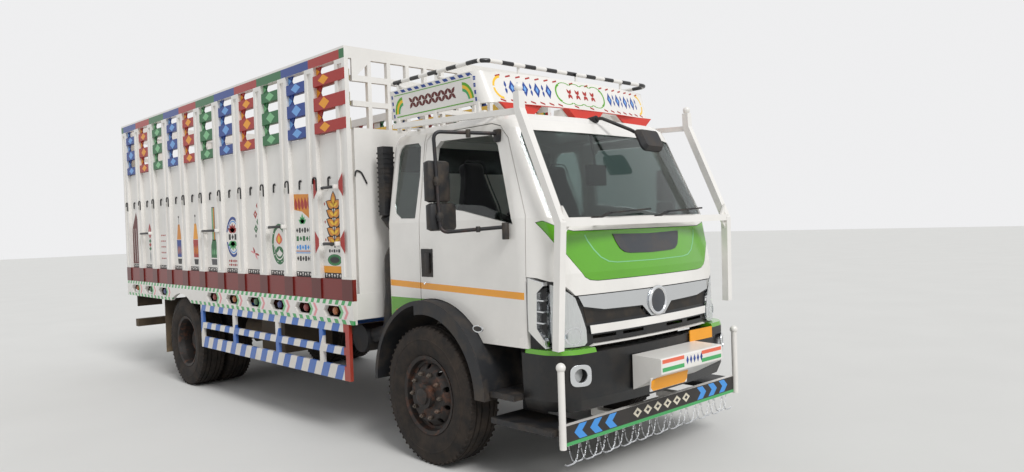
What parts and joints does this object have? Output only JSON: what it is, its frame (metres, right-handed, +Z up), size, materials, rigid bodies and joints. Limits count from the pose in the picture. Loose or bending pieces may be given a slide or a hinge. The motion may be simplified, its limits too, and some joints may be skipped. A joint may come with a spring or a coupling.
{
  "type": "high-sided decorated cargo truck",
  "caption": "Two-axle forward-control truck with a hollow cab, steered front wheels, twin rear wheels, opening doors and a slatted high-sided open-top body with drop tailgate and leaf gates.",
  "frame": {"origin": "on the ground under the middle of the truck's outline", "axes": "+Z up, -Y the way the truck drives, -X its driver's side"},
  "size_m": [3.118, 8.279, 3.3068],
  "materials": {
    "axle_iron": "matte",
    "black_plastic": "matte",
    "body_green": "gloss",
    "body_white": "gloss",
    "cab_plastic": "matte",
    "cab_white": "gloss",
    "chain_steel": "satin",
    "chassis_paint": "satin",
    "chrome_trim": "polished",
    "deck_steel": "matte",
    "engine_iron": "matte",
    "guard_blue": "gloss",
    "lamp_lens": "gloss",
    "panel_green": "gloss",
    "rim_paint": "satin",
    "seat_cloth": "matte",
    "slat_paint": "gloss",
    "spring_steel": "matte",
    "tank_paint": "satin",
    "tinted_glass": "gloss",
    "tyre_rubber": "matte"
  },
  "bodies": {
    "root": {"air_intake": "black_plastic", "bumper": "black_plastic", "bumper_box": "body_white", "bumper_corners": "panel_green", "cab_glass": "tinted_glass", "cab_shell": "cab_white", "chain_fringe": "chain_steel", "chassis_rails": "chassis_paint", "crash_guard": "body_white", "crossmembers": "chassis_paint", "crown": "body_white", "dashboard": "cab_plastic", "engine_block": "engine_iron", "entry_steps": "black_plastic", "front_axle": "axle_iron", "front_lamps": "lamp_lens", "front_panel": "panel_green", "front_wall": "body_white", "grille": "black_plastic", "grille_trim": "chrome_trim", "kerb_mirror": "black_plastic", "leaf_springs": "spring_steel", "load_deck": "deck_steel", "lower_bar": "body_white", "propeller_shaft": "axle_iron", "rear_axle": "axle_iron", "rear_frame": "body_white", "rear_underrun": "chassis_paint", "roof_rack": "body_white", "seats": "seat_cloth", "side_guards": "guard_blue", "side_slats": "slat_paint", "side_wall_left": "body_white", "side_wall_right": "body_white", "tanks_and_boxes": "tank_paint", "under_rails": "body_green", "wheel_arches": "black_plastic", "wipers": "black_plastic"},
    "knuckle_right": {"knuckle_right": "axle_iron"},
    "knuckle_left": {"knuckle_left": "axle_iron"},
    "tie_rod": {"tie_rod": "axle_iron"},
    "wheel_front_right": {"tyre_front_right": "tyre_rubber", "rim_front_right": "rim_paint"},
    "wheel_front_left": {"tyre_front_left": "tyre_rubber", "rim_front_left": "rim_paint"},
    "wheel_rear_right": {"tyres_rear_right": "tyre_rubber", "rims_rear_right": "rim_paint"},
    "wheel_rear_left": {"tyres_rear_left": "tyre_rubber", "rims_rear_left": "rim_paint"},
    "steering_wheel": {"steering_wheel": "cab_plastic"},
    "door_right": {"door_right": "cab_white", "door_glass_right": "tinted_glass", "mirror_right": "black_plastic"},
    "door_left": {"door_left": "cab_white", "door_glass_left": "tinted_glass", "mirror_left": "black_plastic"},
    "tailgate": {"tailgate": "body_white"},
    "gate_right": {"gate_right": "body_white"},
    "gate_left": {"gate_left": "body_white"}
  },
  "joints": [
    {"name": "steer_right", "type": "hinge", "parent": "root", "child": "knuckle_right", "pos_m": [-0.815, -2.55, 0.522], "axis": [0, 0, 1], "range_deg": [-35, 35]},
    {"name": "wheel_front_right_spin", "type": "hinge", "parent": "knuckle_right", "child": "wheel_front_right", "pos_m": [-0.99, -2.55, 0.522], "axis": [1, 0, 0], "continuous": true},
    {"name": "wheel_rear_right_spin", "type": "hinge", "parent": "root", "child": "wheel_rear_right", "pos_m": [-1.042, 2.15, 0.522], "axis": [1, 0, 0], "continuous": true},
    {"name": "door_right_hinge", "type": "hinge", "parent": "root", "child": "door_right", "pos_m": [-1.032, -3.552, 1.5], "axis": [0, 0, 1], "range_deg": [0, 75]},
    {"name": "gate_right_hinge", "type": "hinge", "parent": "root", "child": "gate_right", "pos_m": [-1.068, 4.128, 2.5], "axis": [0, 0, 1], "range_deg": [0, 180]},
    {"name": "steer_left", "type": "hinge", "parent": "root", "child": "knuckle_left", "pos_m": [0.815, -2.55, 0.522], "axis": [0, 0, 1], "range_deg": [-35, 35]},
    {"name": "wheel_front_left_spin", "type": "hinge", "parent": "knuckle_left", "child": "wheel_front_left", "pos_m": [0.99, -2.55, 0.522], "axis": [1, 0, 0], "continuous": true},
    {"name": "wheel_rear_left_spin", "type": "hinge", "parent": "root", "child": "wheel_rear_left", "pos_m": [1.042, 2.15, 0.522], "axis": [1, 0, 0], "continuous": true},
    {"name": "door_left_hinge", "type": "hinge", "parent": "root", "child": "door_left", "pos_m": [1.032, -3.552, 1.5], "axis": [0, 0, -1], "range_deg": [0, 75]},
    {"name": "gate_left_hinge", "type": "hinge", "parent": "root", "child": "gate_left", "pos_m": [1.068, 4.128, 2.5], "axis": [0, 0, -1], "range_deg": [0, 180]},
    {"name": "tie_rod_pivot", "type": "hinge", "parent": "knuckle_right", "child": "tie_rod", "pos_m": [-0.815, -2.35, 0.44], "axis": [0, 0, 1], "range_deg": [-35, 35]},
    {"name": "steering_wheel_turn", "type": "hinge", "parent": "root", "child": "steering_wheel", "pos_m": [-0.5, -3.13, 1.86], "axis": [0, 0.5, 0.866], "range_deg": [-560, 560]},
    {"name": "tailgate_hinge", "type": "hinge", "parent": "root", "child": "tailgate", "pos_m": [0, 4.128, 1.2], "axis": [-1, 0, 0], "range_deg": [0, 170]}
  ],
  "couplings": [
    {"joint": "steer_left", "follows": "steer_right", "ratio": 1},
    {"joint": "tie_rod_pivot", "follows": "steer_right", "ratio": -1},
    {"joint": "steering_wheel_turn", "follows": "steer_right", "ratio": 16}
  ]
}
